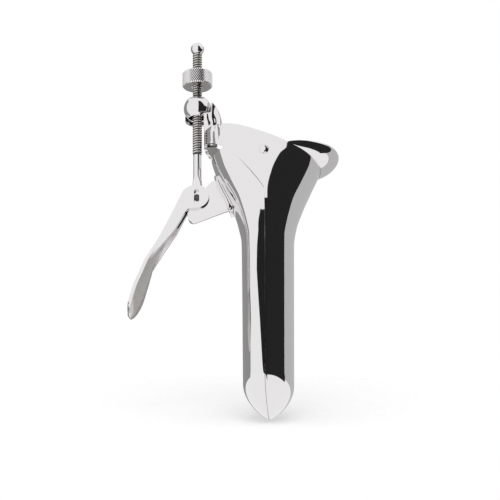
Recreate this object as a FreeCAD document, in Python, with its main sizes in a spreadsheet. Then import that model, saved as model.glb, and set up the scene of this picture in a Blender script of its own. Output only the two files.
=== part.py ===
"""Bivalve speculum with a side lever and a set screw, in millimetres.

Frame: the origin is the middle of the pivot axis, which runs along Y through the two rivets.
The blades point down to their tip, the mouth faces up, and the two blades part along the
plane X = 0: the fixed blade lies on the +X side, the moving blade and its lever on the -X side.
"""
import math
import os

import FreeCAD
import Part

Vec = FreeCAD.Vector
doc = FreeCAD.newDocument("speculum")
sheet = doc.addObject("Spreadsheet::Sheet", "sizes")
size = {}


def setting(row, alias, value):
    """Puts one driving dimension in the sheet and keeps it by name."""
    sheet.set(f"A{row}", alias)
    sheet.set(f"B{row}", str(value))
    sheet.setAlias(f"B{row}", alias)
    size[alias] = float(value)


DRIVING = {
    # the pressed blades
    "blade_length": 110.0,
    "blade_reach": 10.2,
    "blade_half_width": 15.0,
    "wall": 1.2,
    "seam_gap": 0.3,
    "edge_flat": 0.45,
    "tip_round": 23.0,
    "neck_depth": 34.0,
    # the mouth and the collar
    "collar_half_width": 18.2,
    "collar_flat": 10.0,
    "collar_nose": 26.0,
    "nose_flat": 9.0,
    "lip_reach": 28.4,
    "lip_height": 2.4,
    "flare_reach": 20.7,
    "back_reach": 21.5,
    "back_flat": 8.0,
    "nest_gap": 0.4,
    "ear_radius": 6.4,
    # the pivot rivets
    "rivet_radius": 1.25,
    "rivet_play": 0.06,
    "rivet_head_radius": 1.95,
    "rivet_head_height": 0.9,
    # the screw, its ball and its nut
    "screw_offset": 28.8,
    "rod_radius": 1.95,
    "ball_height": 27.2,
    "ball_radius": 5.5,
    "ball_hole_radius": 3.3,
    "cup_clearance": 0.15,
    "cup_outer_radius": 4.9,
    "cup_hole_radius": 3.6,
    "cup_top": 3.5,
    "cup_bottom": 6.0,
    "nut_gap": 4.2,
    "nut_radius": 6.0,
    "nut_height": 6.2,
    "thread_play": 0.05,
    "rod_top": 53.0,
    "stop_rise": 0.7,
    "stop_radius": 2.7,
    "nut_chamfer": 0.5,
    # the lever and its pin
    "pin_drop": 12.5,
    "pin_radius": 1.2,
    "pin_play": 0.06,
    "eye_radius": 2.7,
    "eye_thickness": 2.4,
    "eye_side_gap": 0.1,
    "cheek_thickness": 1.4,
    "cheek_ear_radius": 5.0,
    "web_thickness": 1.6,
    "slot_half_travel": 2.3,
    "spoon_half_width": 10.0,
    "bracket_foot": 1.6,
    "bracket_foot_half_width": 4.5,
}
for row, (alias, value) in enumerate(DRIVING.items(), start=1):
    setting(row, alias, value)
doc.recompute()

seam = size["seam_gap"] / 2
wall = size["wall"]
pin_x = -size["screw_offset"]
pin_z = -size["pin_drop"]


def feature(name, shape):
    """Keeps a shape made with Part's own functions as an object of the document."""
    item = doc.addObject("Part::Feature", name)
    item.Shape = shape
    return item


def boolean(kind, name, base, tool):
    """A parametric cut or common of two objects."""
    item = doc.addObject("Part::" + kind, name)
    item.Base = base
    item.Tool = tool
    return item


def fuse(name, *items):
    item = doc.addObject("Part::MultiFuse", name)
    item.Shapes = list(items)
    item.Refine = True
    return item


def bind(item, **expressions):
    """Binds properties of an object to cells of the sheet."""
    for key, text in expressions.items():
        item.setExpression(key.replace("__", "."), text)
    return item


def cylinder(name, radius, height, **places):
    item = doc.addObject("Part::Cylinder", name)
    return bind(item, Radius=radius, Height=height, **places)


def along_y(item):
    """Turns a cylinder's axis from Z to Y, about its own base point."""
    item.Placement = FreeCAD.Placement(item.Placement.Base, FreeCAD.Rotation(Vec(1, 0, 0), -90))
    return item


# The blades. A section is a half ellipse with a short flat at each end, closed along the seam.
def section(level, reach, half_width, flat, start, side):
    """One closed section at a level, from its start plane out to its reach."""
    stretch = FreeCAD.Matrix()
    stretch.scale(side * (reach - flat), half_width, 1.0)
    stretch.move(Vec(side * flat, 0, level))
    arc = Part.makeCircle(1.0, Vec(0, 0, 0), Vec(0, 0, 1), -90, 90).transformGeometry(stretch)
    low, top = Vec(side * flat, -half_width, level), Vec(side * flat, half_width, level)
    low_corner = Vec(side * start, -half_width, level)
    top_corner = Vec(side * start, half_width, level)
    edges = [
        Part.makeLine(low_corner, low),
        arc.Edges[0],
        Part.makeLine(top, top_corner),
        Part.makeLine(top_corner, low_corner),
    ]
    return Part.Wire(edges)


def monotone_slopes(levels, values):
    """Slopes that keep a curve through the values from swinging past them."""
    gaps = [b - a for a, b in zip(levels, levels[1:])]
    rates = [(b - a) / gap for a, b, gap in zip(values, values[1:], gaps)]
    slopes = [rates[0]]
    for before, after in zip(rates, rates[1:]):
        slopes.append(0.0 if before * after <= 0 else 2 * before * after / (before + after))
    slopes.append(rates[-1])
    return slopes


STATION_SPACING = 5.0
STRAIGHT_RUN = 30.0


def smoothed(stations):
    """More stations on smooth curves through the ones given, at the spacing, but none along a straight run."""
    levels = [station[0] for station in stations]
    columns = list(zip(*stations))[1:]
    slopes = [monotone_slopes(levels, column) for column in columns]
    filled = []
    for i, (low, high) in enumerate(zip(levels, levels[1:])):
        gap = high - low
        steps = 1 if gap > STRAIGHT_RUN else max(1, math.ceil(gap / STATION_SPACING))
        for step in range(steps):
            t = step / steps
            row = [low + gap * t]
            for column, slope in zip(columns, slopes):
                start_weight, end_weight = (1 + 2 * t) * (1 - t) ** 2, t * t * (3 - 2 * t)
                bend = gap * (t * (1 - t) ** 2 * slope[i] - t * t * (1 - t) * slope[i + 1])
                row.append(start_weight * column[i] + end_weight * column[i + 1] + bend)
            filled.append(tuple(row))
    filled.append(tuple(stations[-1]))
    return filled


def offset_stations(stations, inset):
    """Moves each station inwards along the normal of the blade's own back line."""
    moved = []
    for i, (level, reach, half_width, flat) in enumerate(stations):
        before = stations[max(i - 1, 0)]
        after = stations[min(i + 1, len(stations) - 1)]
        rise, run = after[0] - before[0], after[1] - before[1]
        length = math.hypot(rise, run)
        moved.append((level + inset * run / length, reach - inset * rise / length, half_width - inset, flat))
    return moved


TIP_ANGLES = (7, 24, 44, 66)


def half_form(stations, inset, start, side):
    """The solid inside one blade's outer face, or inside that face moved inwards by inset."""
    depth = size["blade_length"] - inset
    bend = size["tip_round"] - inset
    reach, width = size["blade_reach"] - inset, size["blade_half_width"] - inset
    wires = []
    for angle in TIP_ANGLES:
        grow = math.sin(math.radians(angle))
        level = -depth + bend * (1 - math.cos(math.radians(angle)))
        edge = max(start, 0) + size["edge_flat"] * grow
        wires.append(section(level, reach * grow, width * grow, edge, start, side))
    for level, far, half_width, flat in offset_stations(smoothed(stations), inset):
        wires.append(section(level, far, half_width, flat, start, side))
    return Part.makeLoft(wires, True, True)


reach, width = size["blade_reach"], size["blade_half_width"]
edge = seam + size["edge_flat"]
straight = -size["blade_length"] + size["tip_round"]
neck = -size["neck_depth"]
collar = size["collar_half_width"]
nested = collar - wall - size["nest_gap"]


def between(low, high, share):
    """A value a share of the way from low to high."""
    return low + (high - low) * share


# Fixed blade: level, reach, half width and flat of each station, from the straight part up.
flare, lip = size["flare_reach"], size["lip_reach"]
FIXED = [
    (straight, reach, width, edge),
    (neck, reach, width, edge),
    (0.77 * neck, between(reach, flare, 0.10), between(width, collar, 0.15), edge),
    (0.50 * neck, between(reach, flare, 0.38), between(width, collar, 0.92), edge + 0.1),
    (0.29 * neck, between(reach, flare, 0.68), collar, 0.24 * size["collar_flat"]),
    (0.10 * neck, between(reach, flare, 0.94), collar, 0.66 * size["collar_flat"]),
    (0.03 * neck, between(flare, lip, 0.22), collar, 0.92 * size["collar_flat"]),
    (0.40 * size["lip_height"], between(flare, lip, 0.60), collar, size["collar_flat"]),
    (size["lip_height"], lip, collar, size["collar_flat"]),
]
back = size["back_reach"]
MOVING = [
    (straight, reach, width, edge),
    (neck, between(reach, back, 0.05), width, edge),
    (0.77 * neck, between(reach, back, 0.17), between(width, nested, 0.25), edge + 0.3),
    (0.50 * neck, between(reach, back, 0.42), between(width, nested, 0.95), edge + 1.5),
    (0.26 * neck, between(reach, back, 0.75), nested, 0.7 * size["back_flat"]),
    (0.0, back, nested, size["back_flat"]),
    (size["ear_radius"] + 1.0, back + 1.6, nested, size["back_flat"]),
]
MOUTH_ROOM = 4.0
fixed_top, moving_top = FIXED[-1], MOVING[-1]
fixed_outer = feature("fixed_outer", half_form(FIXED, 0.0, seam, 1))
fixed_inner = feature("fixed_inner", half_form(FIXED + [
    (fixed_top[0] + MOUTH_ROOM, fixed_top[1] + 2 * MOUTH_ROOM, collar, fixed_top[3])], wall, -1.0, 1))
moving_outer = feature("moving_outer", half_form(MOVING, 0.0, seam, -1))
moving_inner = feature("moving_inner", half_form(MOVING + [
    (moving_top[0] + MOUTH_ROOM, moving_top[1] + 1.0, nested, moving_top[3])], wall, -1.0, -1))


def prism_y(name, edges, half_depth):
    """A closed outline in the XZ plane, extruded evenly to both sides of it."""
    face = Part.Face(Part.Wire(edges))
    solid = face.extrude(Vec(0, 2 * half_depth, 0))
    solid.translate(Vec(0, -half_depth, 0))
    return feature(name, solid)


def at(x, z):
    return Vec(x, 0, z)


def arc3(start, middle, end):
    return Part.Arc(start, middle, end).toShape()


def chain(points):
    """Straight edges through the points."""
    return [Part.makeLine(a, b) for a, b in zip(points, points[1:])]


# The collar band: an upright ring in plan, cut to its side outline.
nose = -size["collar_nose"]
flat = size["collar_flat"]
BAND_LOW, BAND_HIGH = -22.0, 20.0


EMBED = 0.05


def collar_plan(name, inset, front):
    """The solid inside the collar's outer face, or inside that face moved inwards by inset."""
    centre = -size["nose_flat"]
    ring = half_form_plan(centre, nose + inset, collar - inset, front)
    return feature(name, ring)


def half_form_plan(centre, far, half_width, front):
    stretch = FreeCAD.Matrix()
    stretch.scale(far - centre, half_width, 1.0)
    stretch.move(Vec(centre, 0, BAND_LOW))
    arc = Part.makeCircle(1.0, Vec(0, 0, 0), Vec(0, 0, 1), -90, 90).transformGeometry(stretch)
    low, top = Vec(centre, -half_width, BAND_LOW), Vec(centre, half_width, BAND_LOW)
    low_front, top_front = Vec(front, -half_width, BAND_LOW), Vec(front, half_width, BAND_LOW)
    edges = [Part.makeLine(low_front, low), arc.Edges[0], Part.makeLine(top, top_front)]
    edges.append(Part.makeLine(top_front, low_front))
    return Part.Face(Part.Wire(edges)).extrude(Vec(0, 0, BAND_HIGH - BAND_LOW))


band_outer = collar_plan("band_outer", EMBED, flat)
band_inner = collar_plan("band_inner", wall - EMBED, flat + 1.0)
nose_low, nose_high = 9.6, 14.6
ear_front, ear_low, ear_high = 0.93 * flat, -0.02 * size["neck_depth"], 3.1
foot_x, foot_z = edge - 0.05, 0.51 * neck
side_outline = prism_y("side_outline", [
    arc3(at(foot_x, foot_z), at(-11.0, -3.4), at(nose - 1, nose_low)),
    *chain([at(nose - 1, nose_low), at(nose - 1, nose_high)]),
    arc3(at(nose - 1, nose_high), at(-4.2, 9.4), at(ear_front, ear_high)),
    *chain([at(ear_front, ear_high), at(ear_front, ear_low), at(0.62 * flat, 0.10 * neck),
            at(0.27 * flat, 0.235 * neck), at(edge + 0.15, 0.37 * neck), at(foot_x, foot_z)]),
], collar + 1.0)
band_ring = boolean("Cut", "band_ring", band_outer, band_inner)
band = boolean("Common", "band", band_ring, side_outline)
fixed_shell = boolean("Cut", "fixed_shell", fixed_outer, fixed_inner)
fixed_blank = fuse("fixed_blank", fixed_shell, band)

# The moving blade: its shell below its rim, with a round ear on each side of the pivot.
rim_back = 1.6
rim_keep = prism_y("rim_keep", [
    *chain([at(-back - 6, rim_back), at(-back - 6, -size["blade_length"] - 5), at(0, -size["blade_length"] - 5)]),
    *chain([at(0, -size["blade_length"] - 5), at(0, size["ear_radius"])]),
    arc3(at(0, size["ear_radius"]), at(-back / 2, 5.0), at(-back - 6, rim_back)),
], collar)
moving_shell = boolean("Cut", "moving_shell", moving_outer, moving_inner)
moving_trim = boolean("Common", "moving_trim", moving_shell, rim_keep)
ears = []
for side, word in ((-1, "near"), (1, "far")):
    ear = along_y(cylinder("ear_" + word, "sizes.ear_radius", "sizes.wall"))
    ear_y = "sizes.collar_half_width - sizes.wall - sizes.nest_gap"
    bind(ear, Placement__Base__y="-(" + ear_y + ")" if side < 0 else ear_y + " - sizes.wall")
    ears.append(ear)
moving_blank = fuse("moving_blank", moving_trim, *ears)

# Rivet holes through both blades, then the rivets: a shank with a domed head at each end.
fixed_hole = along_y(cylinder("fixed_hole", "sizes.rivet_radius", "2 * sizes.collar_half_width + 4"))
moving_hole = along_y(cylinder("moving_hole", "sizes.rivet_radius + sizes.rivet_play",
                               "2 * sizes.collar_half_width + 4"))
for hole in (fixed_hole, moving_hole):
    bind(hole, Placement__Base__y="-sizes.collar_half_width - 2")
fixed_valve = boolean("Cut", "fixed_valve", fixed_blank, fixed_hole)
moving_valve = boolean("Cut", "moving_valve", moving_blank, moving_hole)


def dome(name, foot_y, outwards, height):
    """A rivet head: the cap of a sphere standing on a flat at foot_y."""
    radius = size["rivet_head_radius"]
    ball = (radius ** 2 + height ** 2) / (2 * height)
    cap = Part.makeSphere(ball, Vec(0, foot_y + outwards * (height - ball), 0))
    room = Part.makeBox(4 * radius, height + 1, 4 * radius)
    start = foot_y if outwards > 0 else foot_y - height - 1
    room.translate(Vec(-2 * radius, start, -2 * radius))
    return feature(name, cap.common(room))


rivets = []
for side, word in ((-1, "near"), (1, "far")):
    inner_y = nested - wall - size["rivet_play"]
    shank = Part.makeCylinder(size["rivet_radius"], collar - inner_y, Vec(0, side * inner_y, 0), Vec(0, side, 0))
    rivets.append(fuse("pivot_rivet_" + word, feature("shank_" + word, shank),
                       dome("head_" + word, side * collar, side, size["rivet_head_height"]),
                       dome("tail_" + word, side * inner_y, -side, size["rivet_head_height"] * 0.7)))


def on_screw(item, level):
    """Places a piece on the screw's axis, with its base at a level given as an expression."""
    return bind(item, Placement__Base__x="-sizes.screw_offset", Placement__Base__z=level)


# The ball: bored right through, wide enough for the screw to lean in it.
ball_body = on_screw(bind(doc.addObject("Part::Sphere", "ball_body"), Radius="sizes.ball_radius"), "sizes.ball_height")
ball_bore = on_screw(cylinder("ball_bore", "sizes.ball_hole_radius", "4 * sizes.ball_radius"),
                     "sizes.ball_height - 2 * sizes.ball_radius")
swivel_ball = boolean("Cut", "swivel_ball", ball_body, ball_bore)

# The cup under the ball, and the arm that carries it on the collar's nose.
cup_body = on_screw(cylinder("cup_body", "sizes.cup_outer_radius", "sizes.cup_bottom - sizes.cup_top"),
                    "sizes.ball_height - sizes.cup_bottom")
cup_hole = on_screw(cylinder("cup_hole", "sizes.cup_hole_radius", "4 * sizes.ball_radius"),
                    "sizes.ball_height - 2 * sizes.ball_radius")
cup_hollow = on_screw(bind(doc.addObject("Part::Sphere", "cup_hollow"),
                           Radius="sizes.ball_radius + sizes.cup_clearance"), "sizes.ball_height")
seat_ring = boolean("Cut", "seat_ring", boolean("Cut", "cup_drilled", cup_body, cup_hole), cup_hollow)

ball_z, ball_r = size["ball_height"], size["ball_radius"]
arm_left = pin_x + ball_r + 0.3
arm_base = nose_high + 0.5
arm_half = 3.4
arm_top = prism_y("arm_top", [
    *chain([at(arm_left, ball_z + 1.2), at(arm_left, ball_z - 3.0), at(arm_left - 3.0, ball_z - 3.0),
            at(arm_left - 3.0, ball_z - 6.2), at(nose + 0.4, arm_base), at(nose + 5.1, arm_base),
            at(nose + 7.4, arm_base + 1.4)]),
    arc3(at(nose + 7.4, arm_base + 1.4), at(nose + 6.6, ball_z - 4.0), at(arm_left + 0.8, ball_z + 1.2)),
    *chain([at(arm_left + 0.8, ball_z + 1.2), at(arm_left, ball_z + 1.2)]),
], arm_half)
cup_space = on_screw(cylinder("cup_space", "sizes.cup_outer_radius", "3 * sizes.ball_radius"),
                     "sizes.ball_height - sizes.cup_bottom - 3")
arm_upper = boolean("Cut", "arm_upper", arm_top, cup_space)
foot_block = prism_y("foot_block", chain([
    at(nose - 1, nose_low + 1.6), at(nose + 5.1, nose_low + 1.6), at(nose + 5.1, arm_base),
    at(nose - 1, arm_base), at(nose - 1, nose_low + 1.6)]), arm_half)
arm_foot = boolean("Common", "arm_foot", foot_block, band_inner)
seat_arm = fuse("seat_arm", arm_upper, arm_foot)

# The screw: round rod, flattened tongue and eye, with a cross pin pressed through the eye.
eye_top = "-sizes.pin_drop + sizes.cheek_ear_radius + 0.8"
rod_round = on_screw(cylinder("rod_round", "sizes.rod_radius",
                              "sizes.rod_top + sizes.pin_drop - sizes.cheek_ear_radius - 0.8"), eye_top)
tongue = doc.addObject("Part::Box", "tongue")
bind(tongue, Length="2 * sizes.rod_radius", Width="sizes.eye_thickness", Height="sizes.cheek_ear_radius + 0.8",
     Placement__Base__x="-sizes.screw_offset - sizes.rod_radius", Placement__Base__y="-sizes.eye_thickness / 2",
     Placement__Base__z="-sizes.pin_drop")
eye = along_y(cylinder("eye", "sizes.eye_radius", "sizes.eye_thickness"))
bind(eye, Placement__Base__x="-sizes.screw_offset", Placement__Base__y="-sizes.eye_thickness / 2",
     Placement__Base__z="-sizes.pin_drop")
pin_length = "sizes.eye_thickness + 2 * sizes.eye_side_gap + 2 * sizes.cheek_thickness"


def pin_along_y(name, radius):
    """A cylinder on the pin's axis, as long as the lever is thick over its cheeks."""
    item = along_y(cylinder(name, radius, pin_length))
    return bind(item, Placement__Base__x="-sizes.screw_offset", Placement__Base__z="-sizes.pin_drop",
                Placement__Base__y="-(" + pin_length + ") / 2")


rod_blank = fuse("rod_blank", rod_round, tongue, eye)
screw_rod = boolean("Cut", "screw_rod", rod_blank, pin_along_y("eye_hole", "sizes.pin_radius"))
rod_pin = pin_along_y("rod_pin", "sizes.pin_radius")

stop_body = on_screw(bind(doc.addObject("Part::Sphere", "stop_body"), Radius="sizes.stop_radius"), "sizes.rod_top + sizes.stop_rise")
stop_bore = on_screw(cylinder("stop_bore", "sizes.rod_radius", "2 * sizes.stop_radius"),
                     "sizes.rod_top - 2 * sizes.stop_radius")
stop_ball = boolean("Cut", "stop_ball", stop_body, stop_bore)

nut_level = "sizes.ball_height + sizes.ball_radius + sizes.nut_gap"
nut_body = on_screw(cylinder("nut_body", "sizes.nut_radius", "sizes.nut_height"), nut_level)
doc.recompute()
nut_bevel = doc.addObject("Part::Chamfer", "nut_bevel")
nut_bevel.Base = nut_body
rims = [i for i, rim in enumerate(nut_body.Shape.Edges, 1) if len(rim.Vertexes) == 1]
nut_bevel.Edges = [(i, size["nut_chamfer"], size["nut_chamfer"]) for i in rims]
nut_bore = on_screw(cylinder("nut_bore", "sizes.rod_radius + sizes.thread_play", "2 * sizes.nut_height"),
                    nut_level + " - sizes.nut_height / 2")
knurled_nut = boolean("Cut", "knurled_nut", nut_bevel, nut_bore)

# The lever: a strip bent to the hand, wide and round at the spoon, between two cheeks at the top.
web = size["web_thickness"]
lever_top = (pin_x - 5.4, pin_z + 3.0)
lever_bend = (pin_x - 21.8, pin_z - 28.5)
lever_end = (pin_x - 28.1, pin_z - 50.0)


def lean(start, end):
    """Unit direction from one point to another in the XZ plane."""
    run, rise = end[0] - start[0], end[1] - start[1]
    length = math.hypot(run, rise)
    return run / length, rise / length


def beside(point, direction, distance):
    """The point moved to the lever's inner side by a distance."""
    return point[0] - direction[1] * distance, point[1] + direction[0] * distance


slope = lean(lever_top, lever_bend)
chord = lean(lever_bend, lever_end)
swing = math.atan2(chord[0], -chord[1]) - math.atan2(slope[0], -slope[1])
bow = math.dist(lever_bend, lever_end) / 2 * math.tan(swing / 2)
end_slope = (math.sin(math.atan2(chord[0], -chord[1]) + swing), -math.cos(math.atan2(chord[0], -chord[1]) + swing))
centre_bend = ((lever_bend[0] + lever_end[0]) / 2, (lever_bend[1] + lever_end[1]) / 2)
outer_middle = beside(centre_bend, chord, -bow)
inner_middle = beside(centre_bend, chord, web - bow)
inner_top, inner_bend = beside(lever_top, slope, web), beside(lever_bend, slope, web)
inner_end = beside(lever_end, end_slope, web)
strip = prism_y("strip", [
    Part.makeLine(at(*lever_top), at(*lever_bend)),
    arc3(at(*lever_bend), at(*outer_middle), at(*lever_end)),
    Part.makeLine(at(*lever_end), at(*inner_end)),
    arc3(at(*inner_end), at(*inner_middle), at(*inner_bend)),
    *chain([at(*inner_bend), at(*inner_top), at(*lever_top)]),
], size["spoon_half_width"] + 2)

cheek_outer = size["eye_thickness"] / 2 + size["eye_side_gap"] + size["cheek_thickness"]
cheek_inner = cheek_outer - size["cheek_thickness"]
spoon = size["spoon_half_width"]
SPOON_SIDE = [(0.0, 6.0), (0.0, -6.0), (0.10, -15.0), (0.42, -26.0), (0.82, -35.0), (1.0, -40.5), (0.84, -45.2)]
side_points = [(cheek_outer + (spoon - cheek_outer) * share, pin_z + drop) for share, drop in SPOON_SIDE]
tip_z = pin_z - 49.0
right_side = [Vec(pin_x - 60, y, z) for y, z in side_points[1:]]
left_side = [Vec(pin_x - 60, -y, z) for y, z in reversed(side_points[1:])]
rounding = Part.BSplineCurve()
rounding.interpolate([*right_side, Vec(pin_x - 60, 0, tip_z), *left_side])
spoon_face = Part.Face(Part.Wire([
    rounding.toShape(),
    *chain([left_side[-1], Vec(pin_x - 60, -cheek_outer, side_points[0][1]),
            Vec(pin_x - 60, cheek_outer, side_points[0][1]), right_side[0]]),
]))
spoon_plan = feature("spoon_plan", spoon_face.extrude(Vec(80, 0, 0)))
strip_cut = boolean("Common", "strip_cut", strip, spoon_plan)

cheek_lines = chain([
    at(*lever_top), at(*lever_bend), at(pin_x - 14.8, pin_z - 18.4), at(pin_x - 3.8, pin_z - 5.6),
    at(pin_x + 1.0, pin_z - size["cheek_ear_radius"] + 0.1), at(pin_x, pin_z),
    at(pin_x - 1.8, pin_z + size["cheek_ear_radius"] - 0.35), at(*lever_top)])
cheek_plate = prism_y("cheek_plate", cheek_lines, cheek_outer)
cheek_ear = pin_along_y("cheek_ear", "sizes.cheek_ear_radius")
cheek_solid = fuse("cheek_solid", cheek_plate, cheek_ear)
channel = prism_y("channel", chain([
    at(*inner_top), at(*inner_bend), at(pin_x + 20, inner_bend[1] - 8), at(pin_x + 20, pin_z + 20),
    at(inner_top[0], pin_z + 20), at(*inner_top)]), cheek_inner)
cheeks = boolean("Cut", "cheeks", cheek_solid, channel)
slot_radius = "sizes.pin_radius + sizes.pin_play"
slot_ends = []
for word, sign in (("low", "-"), ("high", "+")):
    end = pin_along_y("slot_" + word, slot_radius)
    bind(end, Placement__Base__z="-sizes.pin_drop " + sign + " sizes.slot_half_travel")
    slot_ends.append(end)
slot_box = doc.addObject("Part::Box", "slot_box")
bind(slot_box, Length="2 * (" + slot_radius + ")", Width=pin_length, Height="2 * sizes.slot_half_travel",
     Placement__Base__x="-sizes.screw_offset - (" + slot_radius + ")",
     Placement__Base__y="-(" + pin_length + ") / 2", Placement__Base__z="-sizes.pin_drop - sizes.slot_half_travel")
slot = fuse("slot", slot_box, *slot_ends)
handle_lever = boolean("Cut", "handle_lever", fuse("lever_blank", strip_cut, cheeks), slot)

# The bracket: a plate between the cheeks, notched round the eye, on a foot that hugs the blade's back.
notch = size["eye_radius"] + 0.6
plate = prism_y("plate", [
    *chain([at(pin_x + 6.2, pin_z + 7.0), at(pin_x + 3.8, pin_z + 4.6), at(pin_x + notch, pin_z)]),
    arc3(at(pin_x + notch, pin_z), at(pin_x, pin_z - notch), at(pin_x - notch, pin_z)),
    *chain([at(pin_x - notch, pin_z), at(pin_x - 4.4, pin_z - 4.2), at(pin_x - 3.7, pin_z - 8.0)]),
    arc3(at(pin_x - 3.7, pin_z - 8.0), at(pin_x - 3.1, pin_z - 9.8), at(pin_x - 1.2, pin_z - 10.5)),
    *chain([at(pin_x - 1.2, pin_z - 10.5), at(pin_x + 11.3, pin_z - 6.0), at(pin_x + 20, pin_z - 6.0),
            at(pin_x + 20, pin_z + 7.0), at(pin_x + 6.2, pin_z + 7.0)]),
], cheek_inner)
foot_wrap = feature("foot_wrap", half_form(MOVING, -size["bracket_foot"], seam, -1))
foot_room = prism_y("foot_room", chain([
    at(pin_x + 4.5, pin_z + 8.4), at(pin_x + 20, pin_z + 8.4), at(pin_x + 20, pin_z - 6.2),
    at(pin_x + 4.5, pin_z - 6.2), at(pin_x + 4.5, pin_z + 8.4)]), size["bracket_foot_half_width"])
foot = boolean("Common", "foot", foot_room, foot_wrap)
bracket_blank = fuse("bracket_blank", plate, foot)
lever_bracket = boolean("Cut", "lever_bracket", bracket_blank, moving_outer)

PARTS = {
    "fixed_valve": fixed_valve,
    "moving_valve": moving_valve,
    "pivot_rivet_near": rivets[0],
    "pivot_rivet_far": rivets[1],
    "seat_arm": seat_arm,
    "seat_ring": seat_ring,
    "swivel_ball": swivel_ball,
    "screw_rod": screw_rod,
    "rod_pin": rod_pin,
    "stop_ball": stop_ball,
    "knurled_nut": knurled_nut,
    "lever_bracket": lever_bracket,
    "handle_lever": handle_lever,
}
doc.recompute()

for item in doc.Objects:
    if any(word in item.State for word in ("Invalid", "Error")):
        raise RuntimeError(f"{item.Name} failed: {item.State}")
os.makedirs("parts", exist_ok=True)
for name, item in PARTS.items():
    item.Label = name
    shape = item.Shape
    if shape.isNull() or not shape.isValid() or len(shape.Solids) != 1:
        raise RuntimeError(f"{name} is not one valid solid")
    box = shape.BoundBox
    corners = [round(value, 2) for value in (box.XMin, box.XMax, box.YMin, box.YMax, box.ZMin, box.ZMax)]
    print(f"{name}: {shape.Volume:.1f} mm3, {corners}")
    shape.exportStep(f"parts/{name}.step")
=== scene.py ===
"""Bivalve speculum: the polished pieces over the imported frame, the studio round them and the camera.

Sizes in the property groups are millimetres. The frame's +Z points up out of the mouth,
the fixed blade lies on +X and the moving blade, its lever and the screw on -X.
"""
import math

import bmesh
import bpy
from bpy.props import FloatProperty, IntProperty, PointerProperty, StringProperty
from bpy.types import Operator, Panel, PropertyGroup
from mathutils import Matrix, Vector


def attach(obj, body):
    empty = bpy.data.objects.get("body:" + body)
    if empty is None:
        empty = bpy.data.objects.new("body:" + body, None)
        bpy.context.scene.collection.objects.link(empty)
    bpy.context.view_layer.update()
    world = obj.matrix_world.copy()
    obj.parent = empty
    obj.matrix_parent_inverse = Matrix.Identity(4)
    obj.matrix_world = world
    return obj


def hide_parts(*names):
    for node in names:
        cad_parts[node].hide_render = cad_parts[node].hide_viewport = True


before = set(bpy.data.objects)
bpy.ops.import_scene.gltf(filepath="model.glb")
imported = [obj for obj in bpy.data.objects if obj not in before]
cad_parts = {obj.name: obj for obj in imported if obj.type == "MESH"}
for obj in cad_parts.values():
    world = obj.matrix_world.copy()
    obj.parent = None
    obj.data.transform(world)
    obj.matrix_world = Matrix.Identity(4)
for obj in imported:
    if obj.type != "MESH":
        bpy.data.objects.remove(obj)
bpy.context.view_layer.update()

bl_info = {
    "name": "Bivalve Speculum",
    "version": (1, 0, 0),
    "blender": (4, 5, 0),
    "location": "View3D > Sidebar > Speculum",
    "description": "Builds a polished bivalve speculum over its CAD frame",
    "category": "Add Mesh",
}

MM = 0.001
IMAGE_SIDE = 500  # pixels
SCREW_AXIS = (0.0288, 0, 0)  # metres from the screw's axis to the pivot
PATTERN_RANGE = (0.35, 0.65)  # nearly all values of a noise texture lie between these
WELD = 2e-6  # metres within which points of a mesh are joined
TIP_STEPS, BLADE_STEPS, FLARE_STEPS = 34, 24, 26  # rows of the point, the straight part and the flare
TIP_PROFILE, TIP_PLAN = 1.9, 0.7  # powers that blunt the point from the side and from the front
PLATE_TOP = 3.1  # level of the side plate's upper edge
LIP_ROOT, UNDER_ROLL = -1.6, 2.7  # levels under the roll of the lip, at the far end and at the side plate


def length(name, default, description):
    """A size in millimetres, as a user would set it."""
    return FloatProperty(name=name, default=default, min=0.0, description=description)


def number(name, default, description):
    """A setting that may be negative, in the unit that its description says."""
    return FloatProperty(name=name, default=default, description=description)


def colour(name, default, description):
    """An sRGB hex code."""
    return StringProperty(name=name, default=default, description=description)


class BladeSizes(PropertyGroup):
    wall: length("Wall", 1.2, "Thickness of the pressed sheet")
    depth: length("Blade length", 110.0, "Pivot axis to the tip")
    reach: length("Blade depth", 10.2, "Seam plane to the back of a blade")
    half_width: length("Blade half width", 15.0, "Middle plane to the side of a blade")
    edge_flat: length("Edge flat", 0.45, "Flat strip along each side of the seam")
    seam: length("Half seam", 0.15, "Seam plane to a blade's edge")
    tip_height: length("Tip height", 14.5, "Height over which a blade narrows to its point")
    neck: length("Neck depth", 34.0, "Pivot axis to where the blades start to flare")
    collar: length("Collar half width", 18.2, "Middle plane to the collar's side plate")
    nested: length("Nested half width", 16.6, "Middle plane to the moving blade's ear")
    plate_flat: length("Plate front", 10.0, "Pivot axis to the front of the side plate")
    nose: length("Collar nose", 26.0, "Pivot axis to the back of the collar band")
    nose_flat: length("Nose flat", 9.0, "Pivot axis to where the band starts to turn")
    flare: length("Flare reach", 20.7, "Seam plane to the root of the lip")
    back: length("Back reach", 21.5, "Seam plane to the moving blade's upper back")
    ear_radius: length("Ear radius", 6.4, "Round ear about the pivot")
    rim_round: length("Rim rounding", 0.40, "Rounding of the sheet's bare edges")


class RivetSizes(PropertyGroup):
    radius: length("Head radius", 1.95, "Radius of a rivet head")
    height: length("Head height", 0.9, "Height of a rivet head")
    shank: length("Shank radius", 1.25, "Radius of the rivet's shank")


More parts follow.
